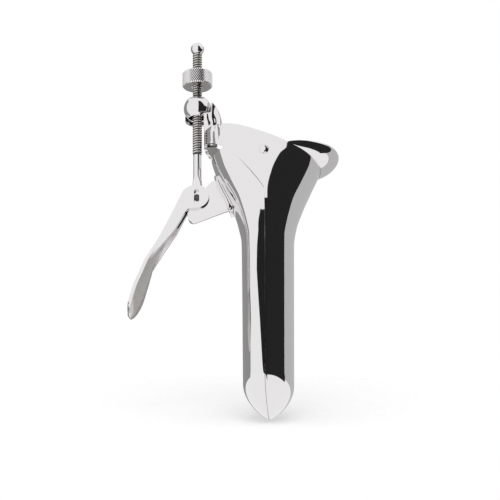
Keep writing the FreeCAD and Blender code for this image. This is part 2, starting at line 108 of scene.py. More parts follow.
class ScrewSizes(PropertyGroup):
    axis_x: length("Screw offset", 28.8, "Pivot axis to the screw's axis")
    crest: length("Thread radius", 1.93, "Screw axis to the crest of the thread")
    thread_depth: length("Thread depth", 0.34, "Crest to root of the thread")
    pitch: length("Pitch", 1.05, "One turn of the thread")
    thread_low: length("Thread start", 6.6, "Level where the thread ends at the bottom")
    rod_top: length("Rod top", 53.0, "Level of the rod's upper end")
    shank: length("Shank radius", 1.62, "Radius of the plain lower rod")
    ball_level: length("Ball level", 27.2, "Level of the ball's centre")
    ball_radius: length("Ball radius", 5.5, "Radius of the swivel ball")
    ball_bore: length("Ball bore radius", 3.3, "Radius of the hole through the ball")
    stop_level: length("Stop ball level", 53.7, "Level of the stop ball's centre")
    stop_radius: length("Stop ball radius", 2.7, "Radius of the ball that stops the nut")
    nut_low: length("Nut level", 36.9, "Level of the nut's underside")
    nut_high: length("Nut top", 43.1, "Level of the nut's upper face")
    nut_radius: length("Nut radius", 6.0, "Radius over the knurl")
    nut_chamfer: length("Nut chamfer", 0.5, "Chamfer at both ends of the knurl")
    knurl_depth: length("Knurl depth", 0.24, "Depth of the slanting knurl")
    knurl_lean: number("Knurl lean", 0.7, "Sideways run of a groove for its rise")
    knurl_count: IntProperty(name="Knurl count", default=42, min=8, description="Grooves round the nut")


class LeverSizes(PropertyGroup):
    pin_x: length("Pin offset", 28.8, "Pivot axis to the lever pin")
    pin_drop: length("Pin drop", 12.5, "Pivot axis down to the lever pin")
    web: length("Web", 1.6, "Thickness of the lever's strip")
    cheek_outer: length("Cheek half width", 2.7, "Middle plane to the outside of a cheek")
    cheek_inner: length("Channel half width", 1.3, "Middle plane to the inside of a cheek")
    spoon: length("Spoon half width", 10.0, "Half of the spoon's width")
    dish: length("Dish", 1.1, "Depth of the spoon's hollow")
    edge_round: length("Edge rounding", 0.3, "Rounding of the lever's edges")


class FinishColours(PropertyGroup):
    steel: colour("Steel", "#EDEBEC", "Polished stainless steel")
    turned: colour("Turned steel", "#DCD8D4", "Turned faces and the thread")
    satin: colour("Satin steel", "#CFCBC7", "Brushed inner face of the lever")
    # painted shade: a darker grey that stands for the shade inside the blades, which are polished there too
    inside: colour("Inner steel", "#A9A5A1", "Painted shade inside the blades")
    # painted shade: a dark grey for the shade in the thread's root, the ball's bore, the knurl's grooves and the
    # pin's slot
    bore: colour("Dark steel", "#5C5A58", "Painted shade in the thread's root, the bores, the knurl's grooves and on the pin")


class StudioSettings(PropertyGroup):
    lens: number("Lens", 1500.0, "Camera lens in millimetres")
    azimuth: number("Azimuth", 6.0, "Camera's turn to +X, in degrees")
    elevation: number("Elevation", -24.0, "Camera's height angle, in degrees")
    pixels_per_mm: number("Scale", 2.485, "Image pixels for a millimetre")
    origin_px: number("Origin column", 268.5, "Image column of the pivot's middle")
    origin_py: number("Origin row", 167.6, "Image row of the pivot's middle")


def linear(code):
    """Linear colour of an sRGB hex code."""
    parts = [int(code[i:i + 2], 16) / 255 for i in (1, 3, 5)]
    return [c / 12.92 if c <= 0.04045 else ((c + 0.055) / 1.055) ** 2.4 for c in parts] + [1.0]


def node(tree, kind, settings=None, inputs=None, links=None):
    """Adds a shader node with its properties, its socket values and its incoming links."""
    item = tree.nodes.new("ShaderNode" + kind)
    for key, value in (settings or {}).items():
        setattr(item, key, value)
    for key, value in (inputs or {}).items():
        item.inputs[key].default_value = value
    for key, source in (links or {}).items():
        tree.links.new(source, item.inputs[key])
    return item


def new_material(name):
    """An empty node material and its tree."""
    made = bpy.data.materials.new(name)
    made.use_nodes = True
    made.node_tree.nodes.clear()
    return made, made.node_tree


def rest_coordinates(tree, scale):
    """Object coordinates in metres times a scale, for patterns worked out from real sizes."""
    place = node(tree, "TexCoord")
    return node(tree, "Mapping", inputs={"Scale": scale}, links={"Vector": place.outputs["Object"]}).outputs[0]


def metal(name, code, rough, rough_swing, spots, relief):
    """Steel whose roughness wanders in patches of a size in millimetres, with a relief in its normals."""
    tree = new_material(name)[1]
    cloud = node(tree, "TexNoise", inputs={"Scale": 1.0, "Detail": 4.0, "Roughness": 0.6},
                     links={"Vector": rest_coordinates(tree, [1000 / spots] * 3)})
    gloss = node(tree, "MapRange", inputs={
        "From Min": PATTERN_RANGE[0], "From Max": PATTERN_RANGE[1], "To Min": rough, "To Max": rough + rough_swing},
                     links={"Value": cloud.outputs[0]})
    shader = node(tree, "BsdfPrincipled", inputs={"Base Color": linear(code), "Metallic": 1.0},
                      links={"Roughness": gloss.outputs[0], "Normal": relief(tree)})
    node(tree, "OutputMaterial", links={"Surface": shader.outputs[0]})


def bump(tree, height, strength, distance):
    """A normal bent by a pattern, whose full swing is a distance in metres."""
    return node(tree, "Bump", inputs={"Strength": strength, "Distance": distance},
                    links={"Height": height}).outputs[0]


def noise_relief(tree, scale, strength, distance, **settings):
    """A bump from noise with patches of 1 / scale metres along each axis."""
    noise = node(tree, "TexNoise", inputs={"Scale": 1.0, **settings},
                     links={"Vector": rest_coordinates(tree, scale)})
    return bump(tree, noise.outputs[0], strength, distance)


def polish_waves(tree):
    """Buffed sheet isn't optically flat: slow swells 9 to 17 mm long, a few hundredths of a millimetre deep."""
    return noise_relief(tree, (110, 110, 60), 0.12, 0.0006, Detail=1.0)


def forged_swells(tree):
    """Uneven swells about 3 mm across and 9 mm tall, a few tenths of a millimetre high."""
    return noise_relief(tree, (320, 320, 110), 1.0, 0.0021, Detail=1.0, Roughness=0.4)


def brushed_grain(tree):
    """Fine scratches along the lever, 0.12 mm apart and about 6 mm long."""
    return noise_relief(tree, (1500, 8000, 170), 0.2, 0.00003, Detail=3.0)


def turning_rings(tree):
    """Tool marks of the lathe, rings 0.36 mm apart on faces square to the screw's axis."""
    place = node(tree, "TexCoord")
    centred = node(tree, "VectorMath", {"operation": "ADD"}, {1: SCREW_AXIS}, {0: place.outputs["Object"]})
    rings = node(tree, "TexWave", {"wave_type": "RINGS", "rings_direction": "Z"},
                     {"Scale": 880.0, "Distortion": 0.6, "Detail": 1.0}, {"Vector": centred.outputs[0]})
    return bump(tree, rings.outputs[0], 0.25, 0.00002)


def pchip(stations):
    """A smooth curve through station rows of (level, values...) that never swings past them."""
    levels = [row[0] for row in stations]
    columns = list(zip(*stations))[1:]
    slopes = []
    for column in columns:
        rates = [(b - a) / (q - p) for p, q, a, b in zip(levels, levels[1:], column, column[1:])]
        inner = [0.0 if a * b <= 0 else 2 * a * b / (a + b) for a, b in zip(rates, rates[1:])]
        slopes.append([rates[0], *inner, rates[-1]])

    def at(level):
        i = max(0, min(len(levels) - 2, sum(1 for known in levels[1:-1] if level >= known)))
        gap = levels[i + 1] - levels[i]
        t = min(max((level - levels[i]) / gap, 0.0), 1.0)
        weights = ((1 + 2 * t) * (1 - t) ** 2, t * t * (3 - 2 * t), gap * t * (1 - t) ** 2, -gap * t * t * (1 - t))
        return [weights[0] * c[i] + weights[1] * c[i + 1] + weights[2] * s[i] + weights[3] * s[i + 1]
                for c, s in zip(columns, slopes)]
    return at


def circle_through(a, b, c):
    """Centre and radius of the circle through three points of a plane."""
    d = 2 * (a[0] * (b[1] - c[1]) + b[0] * (c[1] - a[1]) + c[0] * (a[1] - b[1]))
    squares = [p[0] ** 2 + p[1] ** 2 for p in (a, b, c)]
    x = (squares[0] * (b[1] - c[1]) + squares[1] * (c[1] - a[1]) + squares[2] * (a[1] - b[1])) / d
    z = (squares[0] * (c[0] - b[0]) + squares[1] * (a[0] - c[0]) + squares[2] * (b[0] - a[0])) / d
    return x, z, math.hypot(a[0] - x, a[1] - z)


def level_on(a, b, c):
    """The level at a given x on the arc through three points."""
    x0, z0, radius = circle_through(a, b, c)
    side = 1 if b[1] > z0 else -1
    return lambda x: z0 + side * math.sqrt(max(radius ** 2 - (x - x0) ** 2, 0.0))


def place_on(a, b, c):
    """The x at a given level on the arc through three points."""
    x0, z0, radius = circle_through(a, b, c)
    side = 1 if b[0] > x0 else -1
    return lambda z: x0 + side * math.sqrt(max(radius ** 2 - (z - z0) ** 2, 0.0))


def between(table, at):
    """The second value of a table of pairs at a first value, on straight lines between them."""
    for (a, low), (b, high) in zip(table, table[1:]):
        if at <= b:
            return low + (high - low) * max(0.0, at - a) / (b - a)
    return table[-1][1]


def about(axis, radius, a, z):
    """A point at a radius and an angle from an upright axis at x."""
    return axis + radius * math.cos(a), radius * math.sin(a), z


def arc_points(a, b, c, steps):
    """Points on the arc from a through b to c, the first left out."""
    x0, z0, radius = circle_through(a, b, c)
    angles = [math.atan2(p[1] - z0, p[0] - x0) for p in (a, b, c)]
    turn = (angles[2] - angles[0]) % (2 * math.pi)
    if (angles[1] - angles[0]) % (2 * math.pi) > turn:
        turn -= 2 * math.pi
    return [(x0 + radius * math.cos(a), z0 + radius * math.sin(a))
            for a in spread(angles[0], angles[0] + turn, steps)[1:]]


def spread(low, high, steps):
    """Evenly spaced values from low to high, both included."""
    return [low + (high - low) * i / steps for i in range(steps + 1)]


def grid_faces(rows, columns, closed=False, start=0):
    """Quads of a grid of points stored row by row."""
    wrap = columns if closed else columns - 1
    return [tuple(start + i * columns + j % columns for i, j in ((r, c), (r, c + 1), (r + 1, c + 1), (r + 1, c)))
            for r in range(rows - 1) for c in range(wrap)]


def new_mesh(name, points, faces):
    """A mesh from points in millimetres."""
    mesh = bpy.data.meshes.new(name)
    mesh.from_pydata([[v * MM for v in p] for p in points], [], faces)
    return mesh


def clean(mesh):
    """Joins points in one place, drops faces without area and turns the normals outwards."""
    work = bmesh.new()
    work.from_mesh(mesh)
    bmesh.ops.remove_doubles(work, verts=work.verts, dist=WELD)
    bmesh.ops.dissolve_degenerate(work, edges=work.edges, dist=WELD / 20)
    bmesh.ops.recalc_face_normals(work, faces=work.faces)
    work.to_mesh(mesh)
    work.free()


def linked(name, data):
    """A new object in the scene that holds a mesh, a lamp or a camera."""
    made = bpy.data.objects.new(name, data)
    bpy.context.scene.collection.objects.link(made)
    return made


def piece(name, points, faces, body, materials, stands_for):
    """An object from points in millimetres, with its body, its finishes and the CAD part it stands for."""
    mesh = new_mesh(name, points, faces)
    clean(mesh)
    made = linked(name, mesh)
    for one in materials:
        mesh.materials.append(one)
    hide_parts(stands_for)
    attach(made, body)
    return made


def paint(made, choose):
    """Gives each face the material whose number a function of its centre in millimetres and its normal says."""
    made.data.polygons.foreach_set("material_index", [
        choose(f.center.x / MM, f.center.y / MM, f.center.z / MM, f.normal) for f in made.data.polygons])


def settle(made, sharp=38, **modifiers):
    """Applies the given modifiers and shades the result smooth, apart from edges sharper than an angle."""
    for kind, values in modifiers.items():
        item = made.modifiers.new(kind, kind)
        for key, value in values.items():
            setattr(item, key, value)
    bpy.context.view_layer.update()
    if modifiers:
        graph = bpy.context.evaluated_depsgraph_get()
        done = bpy.data.meshes.new_from_object(made.evaluated_get(graph))
        old = made.data
        made.modifiers.clear()
        made.data = done
        bpy.data.meshes.remove(old)
    made.data.polygons.foreach_set("use_smooth", [True] * len(made.data.polygons))
    made.data.set_sharp_from_angle(angle=math.radians(sharp))


def wall_of(made, s):
    """Turns a pressing's outer face outwards and gives the settings of its wall, thinner at the point."""
    if sum(f.normal.x * f.center.x + f.normal.y * f.center.y for f in made.data.polygons) < 0:
        made.data.flip_normals()
    group = made.vertex_groups.new(name="wall")
    for v in made.data.vertices:
        group.add([v.index], min(1.0, max(0.0, (v.co.z / MM + s.depth) / 5.0)), "REPLACE")
    return {"thickness": s.wall * MM, "offset": -1.0, "use_even_offset": False, "vertex_group": "wall",
            "thickness_vertex_group": 0.04, "material_offset_rim": 0,
            # the inner face takes the last material, the painted shade of the inside
            "material_offset": len(made.data.materials) - 1}


def sheet(made, thickness, towards):
    """Settings of a wall of a thickness in millimetres that grows to one side."""
    way = Vector(towards)
    facing = sum(f.normal.dot(way) for f in made.data.polygons)
    return {"thickness": thickness * MM, "offset": 1.0 if facing > 0 else -1.0}


def rounded_edges(width, segments=3, angle=38):
    """Settings of a bevel that rounds sharp edges to a width in millimetres."""
    return {"width": width * MM, "segments": segments, "limit_method": "ANGLE", "angle_limit": math.radians(angle),
            "miter_outer": "MITER_ARC", "use_clamp_overlap": True}


def lathe(profile, steps, place):
    """Points and quads of a profile turned about an axis; place gives the point at a radius, height and angle."""
    points = [place(r, h, 2 * math.pi * i / steps) for r, h in profile for i in range(steps)]
    return points, grid_faces(len(profile), steps, closed=True)


def prism(outline, low, high):
    """Points and faces of an outline in the XZ plane between two values of Y."""
    count = len(outline)
    points = [(x, y, z) for y in (low, high) for x, z in outline]
    sides = [(i, (i + 1) % count, count + (i + 1) % count, count + i) for i in range(count)]
    return points, [tuple(range(count)), tuple(range(2 * count - 1, count - 1, -1)), *sides]


def tip_rows(s):
    """Level, reach, half width and flat of a blade from its point up to its full width."""
    rows = []
    for i in range(TIP_STEPS + 1):
        t = math.cos(math.pi / 2 * i / TIP_STEPS)
        grow = 1 - t ** TIP_PROFILE
        rows.append((-s.depth + s.tip_height * (1 - t), s.reach * grow, s.half_width * grow ** TIP_PLAN,
                     s.seam + s.edge_flat * grow))
    return rows


def shaft_levels(s, top):
    """Levels of the rows above the point, up to a level in the flare."""
    return spread(-s.depth + s.tip_height, -s.neck, BLADE_STEPS)[1:] + spread(-s.neck, top, FLARE_STEPS)[1:]


def fixed_rows(s):
    """Rows of the fixed blade and collar's outer face, from the tip up, each from near to far.

    A row holds its levels at the side plate and at the far end of the blade, its reach,
    half width and flat. The root and the roll of the lip drop away from the plate.
    """
    edge = s.seam + s.edge_flat
    form = pchip([
        (-s.depth + s.tip_height, s.reach, s.half_width, edge),
        (-s.neck, s.reach, s.half_width, edge),
        (-0.77 * s.neck, s.reach + 1.05, s.half_width + 0.5, edge + 0.15),
        (-0.50 * s.neck, s.reach + 3.99, s.collar - 0.25, edge + 0.35),
        (-0.29 * s.neck, s.reach + 7.14, s.collar, 2.4),
        (-0.10 * s.neck, s.flare - 0.6, s.collar, 6.6),
        (LIP_ROOT, s.flare, s.collar, 9.3),
        (PLATE_TOP, s.flare, s.collar, s.plate_flat)])
    low = -0.29 * s.neck
    rows = [(row[0], *row) for row in tip_rows(s)]
    rows += [(level, level, *form(level)) for level in shaft_levels(s, low)]
    for t in spread(0, 1, 24)[1:]:
        right, plate = low + (LIP_ROOT - low) * t, low + (UNDER_ROLL - low) * t
        rows.append((plate, right, *form(right)[:2], form(right + (plate - right) * 0.35)[2]))
    # level of the roll at the far end, and how far it stands out from its root
    roll = [(-1.75, 0.30), (-1.72, 0.75), (-1.62, 1.5), (-1.36, 2.5), (-0.98, 3.5), (-0.46, 4.5), (0.22, 5.5),
            (0.92, 6.3), (1.72, 6.95), (2.5, 7.38), (3.2, 7.6), (3.85, 7.62), (4.35, 7.42), (4.68, 7.05),
            (4.8, 6.6)]
    for i, (level, out) in enumerate(roll, 1):
        plate = UNDER_ROLL + (PLATE_TOP - UNDER_ROLL) * i / len(roll)
        rows.append((plate, level, s.flare + out, s.collar, s.plate_flat))
    return rows


def nose_angle(s, x):
    """The angle round the collar's nose at x, 0 where its sides are still flat."""
    return math.asin(min(1.0, max(0.0, (-s.nose_flat - x) / (s.nose - s.nose_flat))))


def collar_path(s, x, q=None):
    """A point of the collar's plan on the near side: at x along the plate, or at angle q round the nose."""
    if q is None:
        q = nose_angle(s, x)
    if q <= 0:
        return x, -s.collar
    return -s.nose_flat - (s.nose - s.nose_flat) * math.sin(q), -s.collar * math.cos(q)


def path_steps(s, left, right, steps):
    """x values or nose angles from a left end of the near side path to a right end, evenly along it."""
    turn = nose_angle(s, left)
    round_length = turn * (s.nose + s.collar - s.nose_flat) / 2
    whole = round_length + right - max(left, -s.nose_flat)
    out = []
    for i in range(steps + 1):
        gone = whole * i / steps
        if gone < round_length:
            out.append((None, turn * (1 - gone / round_length)))
        else:
            out.append((max(left, -s.nose_flat) + gone - round_length, None))
    return out


def build_fixed_blade(s, steel, forged, inner):
    """One sheet: the blade with its flare and lip, the side plates and the band round the collar's nose."""
    foot, nose_low, nose_high = -0.51 * s.neck, 9.6, 14.6
    # arcs of (x, level) along the lower and the upper edge of the plate and band
    lower = ((s.seam + s.edge_flat - 0.05, foot), (-11.0, -2.2), (-s.nose - 1, nose_low))
    upper = ((-s.nose - 1, nose_high), (-4.2, 9.4), (0.93 * s.plate_flat, PLATE_TOP))
    left_at, low_at, high_at = place_on(*lower), level_on(*lower), level_on(*upper)
    side_steps, round_steps, nose_steps, band_rows = 30, 88, 60, 14
    points, rows = [], fixed_rows(s)
    for plate, right, reach, half, flat in rows:
        left = s.seam if plate < foot else min(s.seam, left_at(plate))
        near = []
        for x, q in path_steps(s, left, flat, side_steps):
            px, py = collar_path(s, x, q)
            near.append((px, py if py > -s.collar + 1e-9 else -half, plate))
        across = []
        for t in spread(-math.pi / 2, math.pi / 2, round_steps)[1:-1]:
            drop = math.cos(t) * (1.14 - 0.14 * math.cos(t))  # falls off a little faster by the plates
            across.append((flat + (reach - flat) * math.cos(t), half * math.sin(t), plate + (right - plate) * drop))
        points += near + across + [(x, -y, z) for x, y, z in reversed(near)]
    columns = len(points) // len(rows)
    faces = grid_faces(len(rows), columns)
    top = points[-columns:][:side_steps + 1]
    turn = nose_angle(s, top[0][0])
    middle = [(*collar_path(s, 0, q), None) for q in spread(turn, math.pi - turn, nose_steps)[1:-1]]
    strip = list(reversed(top)) + middle + [(x, -y, z) for x, y, z in top]
    start = len(points)
    for r in range(band_rows + 1):
        for x, y, base in strip:
            low = low_at(x) if base is None else base
            points.append((x, y, low + (max(high_at(x), low) - low) * r / band_rows))
    faces += grid_faces(band_rows + 1, len(strip), start=start)
    made = piece("fixed_blade", points, faces, "fixed", [steel, forged, inner], "fixed_valve")
    # the forged finish of the arm runs on round the nose of the band
    paint(made, lambda x, y, z, normal: int(z > 0 and x < -16.7 - (11 - z) * 0.5))
    settle(made, SOLIDIFY=wall_of(made, s), BEVEL=rounded_edges(s.rim_round))


def moving_stations(s):
    """Level, reach, half width and flat of the moving blade's outer face."""
    edge = s.seam + s.edge_flat
    return [
        (-s.depth + s.tip_height, s.reach, s.half_width, edge),
        (-s.neck, s.reach + 0.57, s.half_width, edge),
        (-0.77 * s.neck, s.reach + 1.92, s.half_width + 0.4, edge + 0.3),
        (-0.50 * s.neck, s.reach + 4.75, s.nested - 0.08, edge + 1.5),
        (-0.26 * s.neck, s.reach + 8.48, s.nested, 5.6),
        (0.0, s.back, s.nested, 8.0),
        (s.ear_radius + 1, s.back + 1.6, s.nested, 8.0)]


def build_moving_blade(s, steel, inner):
    """One sheet: the blade, its flare with a rim that falls to the back, and two round ears."""
    base, form = -0.26 * s.neck, pchip(moving_stations(s))
    ear_rows, ear_steps, side_steps, round_steps = 36, 12, 26, 88
    levels = shaft_levels(s, base)
    levels += [base + (s.ear_radius - base) * (1 - math.cos(a)) for a in spread(0, math.pi / 2, ear_rows)[1:]]
    rows = tip_rows(s) + [(level, *form(level)) for level in levels]
    rim = level_on((0, s.ear_radius), (-s.back / 2, 5.0), (-s.back - 6, 1.6))
    points = []
    for level, reach, half, flat in rows:
        ear = math.sqrt(max(s.ear_radius ** 2 - level ** 2, 0.0))
        near = [(x, -half) for x in spread(max(ear, 0.001), -s.seam, ear_steps)[:-1]]
        near += [(x, -half) for x in spread(-s.seam, -flat, side_steps)]
        turns = spread(-math.pi / 2, math.pi / 2, round_steps)[1:-1]
        across = [(-flat - (reach - flat) * math.cos(t), half * math.sin(t)) for t in turns]
        for x, y in near + across + [(x, -y) for x, y in reversed(near)]:
            z = level
            if level > base and x < 0:
                z = base + (level - base) * (rim(x) - base) / (s.ear_radius - base)
            points.append((x, y, z))
    made = piece("moving_blade", points, grid_faces(len(rows), len(points) // len(rows)), "moving",
                 [steel, inner], "moving_valve")
    settle(made, SOLIDIFY=wall_of(made, s), BEVEL=rounded_edges(s.rim_round))


def build_rivets(s, blade, steel):
    """Domed heads outside the collar's plates, and the closed ends of the shanks inside the mouth."""
    inner = blade.nested - blade.wall - 0.06
    profile = [(s.radius * t, blade.collar + s.height * (1 - t ** 5)) for t in spread(0, 1, 24)]
    profile += [(s.radius, blade.collar - 0.15), (s.shank, blade.collar - 0.2)]
    profile += [(s.shank, inner + 0.05), (s.radius, inner), (s.radius * 0.97, inner - 0.12)]
    profile += [(s.radius * math.cos(a), inner - 0.12 - 0.5 * math.sin(a)) for a in spread(0.25, math.pi / 2, 10)]
    for side, word in ((-1, "near"), (1, "far")):
        points, faces = lathe(profile, 64, lambda r, h, a: (r * math.cos(a), side * h, r * math.sin(a)))
        made = piece("rivet_" + word, points, faces, "fixed", [steel], "pivot_rivet_" + word)
        settle(made, sharp=50)


def build_ball_and_seat(s, steel, dark):
    """The ball with its wide bore, on a seat that is open towards the front."""
    axis, level, round_off = -s.axis_x, s.ball_level, 0.25
    top = math.acos((s.ball_bore + round_off) / s.ball_radius)
    outer = [(s.ball_radius * math.cos(a), s.ball_radius * math.sin(a)) for a in spread(-top, top, 72)]
    high = s.ball_radius * math.sin(top)
    curl = [(s.ball_bore + round_off * (1 - math.sin(a)), high - 0.1 - round_off * (1 - math.cos(a)))
            for a in spread(0.3, math.pi / 2, 6)]
    bore = [(s.ball_bore, h) for h in spread(high - 0.6, 0.6 - high, 10)]
    profile = outer + curl + bore + [(r, -h) for r, h in reversed(curl)] + outer[:1]
    points, faces = lathe(profile, 128, lambda r, h, a: about(axis, r, a, level + h))
    ball = piece("ball", points, faces, "ball", [steel, dark], "swivel_ball")
    # painted shade: the faces of the bore are drawn dark for the shade inside the hole
    paint(ball, lambda x, y, z, normal: int(math.hypot(x - axis, y) < s.ball_bore + 0.02))
    settle(ball, sharp=45)

    cup, outer_r, hole = s.ball_radius + 0.15, 4.9, 3.6
    low = math.acos(outer_r / cup)
    hollow = [(cup * math.cos(a), -cup * math.sin(a)) for a in spread(low + 0.03, math.acos(hole / cup) - 0.02, 16)]
    ring = hollow + [(hole, -5.0), (hole, -5.8), (hole + 0.2, -6.0), (outer_r - 0.6, -6.0), (outer_r - 0.15, -5.75),
                     (outer_r, -5.3), (outer_r, -3.7), (outer_r - 0.08, -3.4)]
    arc = [math.radians(a) for a in spread(-38, 196, 100)]
    points = [about(axis, r, a, level + h) for a in arc for r, h in ring]
    faces = grid_faces(len(arc), len(ring), closed=True)
    faces += [tuple(range(len(ring))), tuple(reversed(range(len(points) - len(ring), len(points))))]
    settle(piece("seat_ring_turned", points, faces, "fixed", [steel], "seat_ring"), sharp=35)


def build_arm(s, blade, forged):
    """The forged arm from the collar's nose to the ring: a waisted strap, thick at its foot."""
    left, level = -s.axis_x + s.ball_radius + 0.3, s.ball_level
    nose, foot = -blade.nose, 15.1
    half, corner = 3.4, 1.0
    outline = [(left, level + 1.2), (left, level - 3.0), (left - 3.0, level - 3.0), (left - 3.0, level - 6.2)]
    outline += arc_points(outline[-1], (nose + 0.1, foot + 2.8), (nose + 0.4, foot - 0.5), 10)
    outline += [(nose + 1.35, foot - 0.5), (nose + 1.35, 11.4), (nose + 5.1, 11.4), (nose + 5.1, foot)]
    outline += arc_points(outline[-1], (nose + 6.3, foot + 0.4), (nose + 7.3, foot + 1.5), 6)
    outline += arc_points(outline[-1], (nose + 6.6, level - 4.0), (left + 0.9, level + 1.2), 16)
    points, faces = prism(outline, -half, half)
    made = piece("forged_arm", points, faces, "fixed", [forged], "seat_arm")
    settle(made, BEVEL=rounded_edges(corner, 6, 30))


def build_screw(s, steel, turned, dark):
    """The thread, the plain rod that ends in a flat eye, the pin through the eye and the ball on top."""
    axis, low, high = -s.axis_x, s.thread_low, s.rod_top
    steps, per_turn, shank_rows = 48, 16, 110
    crest_share, flank_share = 0.12, 0.72
    points = []
    count = int((high - low) / s.pitch * per_turn)
    for r in range(count + 1):
        z = low + (high - low) * r / count
        fade = min(1.0, (z - low) / s.pitch)
        for c in range(steps):
            a = 2 * math.pi * c / steps
            phase = ((z - low) / s.pitch - c / steps) % 1.0
            ridge = min(1.0, max(0.0, (abs(phase - 0.5) * 2 - crest_share) / flank_share))
            deep = s.crest - s.thread_depth * ridge * ridge * (3 - 2 * ridge)
            radius = deep * fade + s.shank * (1 - fade)
            points.append(about(axis, radius, a, z))
    faces = grid_faces(count + 1, steps, closed=True)
    thread = piece("thread", points, faces, "screw", [turned, dark], "screw_rod")
    root = s.crest - 0.62 * s.thread_depth
    # painted shade: the thread's root is drawn dark
    paint(thread, lambda x, y, z, normal: int(math.hypot(x - axis, y) < root))
    settle(thread, sharp=80)

    pin = -12.5
    tip, neck = pin - 2.68, low + 0.02
    # level, half width across the lever, half depth, and how square the section is
    form = pchip([(tip, 0.25, 1.05, 0.9), (pin - 2.2, 1.57, 1.2, 0.9), (pin, 2.6, 1.2, 0.9),
                  (pin + 2.2, 2.1, 1.2, 0.8), (-6.8, 1.95, 1.2, 0.6), (-4.6, 1.75, 1.45, 0.3),
                  (-2.4, 1.63, 1.6, 0.0), (neck, s.shank, s.shank, 0.0)])
    points = []
    for z in spread(tip, neck, shank_rows):
        wide, deep, square = form(z)
        power = 2 / (2 + 6 * square)
        for c in range(steps):
            a = 2 * math.pi * c / steps
            x, y = (math.copysign(abs(v) ** power, v) for v in (math.cos(a), math.sin(a)))
            points.append((axis + wide * x, deep * y, z))
    faces = grid_faces(shank_rows + 1, steps, closed=True) + [tuple(range(steps))]
    settle(piece("rod_shank", points, faces, "screw", [steel], "screw_rod"), sharp=45)

    profile = [(0.001, 2.3), (1.0, 2.3), (1.2, 2.1)]
    profile = [(r, -h) for r, h in profile] + profile[::-1]
    points, faces = lathe(profile, 48, lambda r, h, a: (axis + r * math.cos(a), h, pin + r * math.sin(a)))
    # painted shade: the cross pin is drawn dark all over for the shade of the slot it sits in
    settle(piece("cross_pin", points, faces, "screw", [dark], "rod_pin"), sharp=35)

    turns = spread(-1.0, math.pi / 2, 48)
    ball = [(max(0.001, s.stop_radius * math.cos(a)), s.stop_radius * math.sin(a)) for a in turns]
    ball = [(s.crest * 0.7, ball[0][1])] + ball
    points, faces = lathe(ball, 96, lambda r, h, a: about(axis, r, a, s.stop_level + h))
    settle(piece("end_ball", points, faces, "screw", [steel], "stop_ball"), sharp=45)


def build_nut(s, steel, turned, dark):
    """A turned nut with a slanting knurl, as rings of points from its underside to its upper face."""
    axis, low, high, outer, land = -s.axis_x, s.nut_low, s.nut_high, s.nut_radius, s.nut_chamfer
    per_groove, open_share = 8, 0.55
    steps = s.knurl_count * per_groove
    period = 2 * math.pi * outer / s.knurl_count
    rows = int((high - low - 2 * land) / period * per_groove)
    points = []

    def ring(z, radius_of):
        points.extend(about(axis, radius_of(c), 2 * math.pi * c / steps, z) for c in range(steps))

    def groove(c, z):
        cut = abs(((c / per_groove - s.knurl_lean * (z - low) / period) % 1.0) - 0.5) * 2
        return outer - s.knurl_depth * max(0.0, 1.0 - cut / open_share)

    bore = s.crest + 0.05
    under = [(bore, 0.45), (bore + 0.45, 0.02), (bore + 0.6, 0.0), (outer - land - 0.9, 0.0),
             (outer - land - 0.12, 0.0), (outer - land, 0.02)]
    for radius, inset in under:
        ring(low + inset, lambda c: radius)
    for z in spread(low + land, high - land, rows):
        ring(z, lambda c: groove(c, z))
    for radius, inset in reversed(under):
        ring(high - inset, lambda c: radius)
    made = piece("nut_knurled", points, grid_faces(len(points) // steps, steps, closed=True), "nut",
                 [turned, steel, dark], "knurled_nut")

    def finish_at(x, y, z, normal):
        if abs(normal.z) > 0.97:
            return 0
        # painted shade: the bottoms of the knurl's grooves are drawn dark
        return 2 if math.hypot(x - axis, y) < outer - 0.72 * s.knurl_depth and low + land < z < high - land else 1

    paint(made, finish_at)
    settle(made, sharp=32)


def build_bracket(s, blade, steel):
    """The plate between the lever's cheeks, with its notch for the rod's eye, and its foot on the blade's back."""
    x, z, notch = -s.pin_x, -s.pin_drop, 3.3
    outline = [(x + 6.2, z + 7.0), (x + 3.8, z + 4.6), (x + notch, z)]
    outline += arc_points(outline[-1], (x, z - notch), (x - notch, z), 24)
    outline += [(x - 4.4, z - 4.2), (x - 3.7, z - 8.0)]
    outline += arc_points(outline[-1], (x - 3.1, z - 9.8), (x - 1.2, z - 10.5), 12)
    outline += [(x + 11.3, z - 6.0), (x + 12.6, z - 5.8), (x + 12.0, z - 3.5), (x + 9.0, z + 7.0)]
    points, faces = prism(outline, -s.cheek_inner, s.cheek_inner)
    made = piece("bracket_plate", points, faces, "moving", [steel], "lever_bracket")
    settle(made, BEVEL=rounded_edges(0.28, 4, 30))

    foot_low, foot_high, foot_half, rows, columns = -19.6, -3.6, 4.5, 36, 28
    form = pchip(moving_stations(blade)[2:6])
    points = []
    for share in spread(0, 1, rows):
        level = foot_low + (foot_high - foot_low) * share
        reach, half, flat = form(level)
        narrow = 1.0 - 0.35 * max(0.0, (abs(share - 0.5) - 0.36) / 0.14) ** 2
        for y in spread(-foot_half * narrow, foot_half * narrow, columns):
            points.append((-flat - (reach - flat) * math.sqrt(1 - (y / half) ** 2) - 0.04, y, level))
    foot = piece("bracket_foot", points, grid_faces(rows + 1, columns + 1), "moving", [steel],
                 "lever_bracket")
    settle(foot, SOLIDIFY=sheet(foot, 1.5, (-1, 0, 0)), BEVEL=rounded_edges(0.5, 4))


def slot_cutter(s, x, z):
    """A long slot through both cheeks, for the ends of the cross pin."""
    half, reach, past, steps = 1.05, 2.1, s.cheek_outer + 1.5, 16
    turns = spread(0, math.pi, steps)
    loop = [(x + half * math.cos(a), z + reach + half * math.sin(a)) for a in turns]
    loop += [(x - half * math.cos(a), z - reach - half * math.sin(a)) for a in turns]
    mesh = new_mesh("slot_cutter", *prism(loop, -past, past))
    clean(mesh)
    return linked("slot_cutter", mesh)


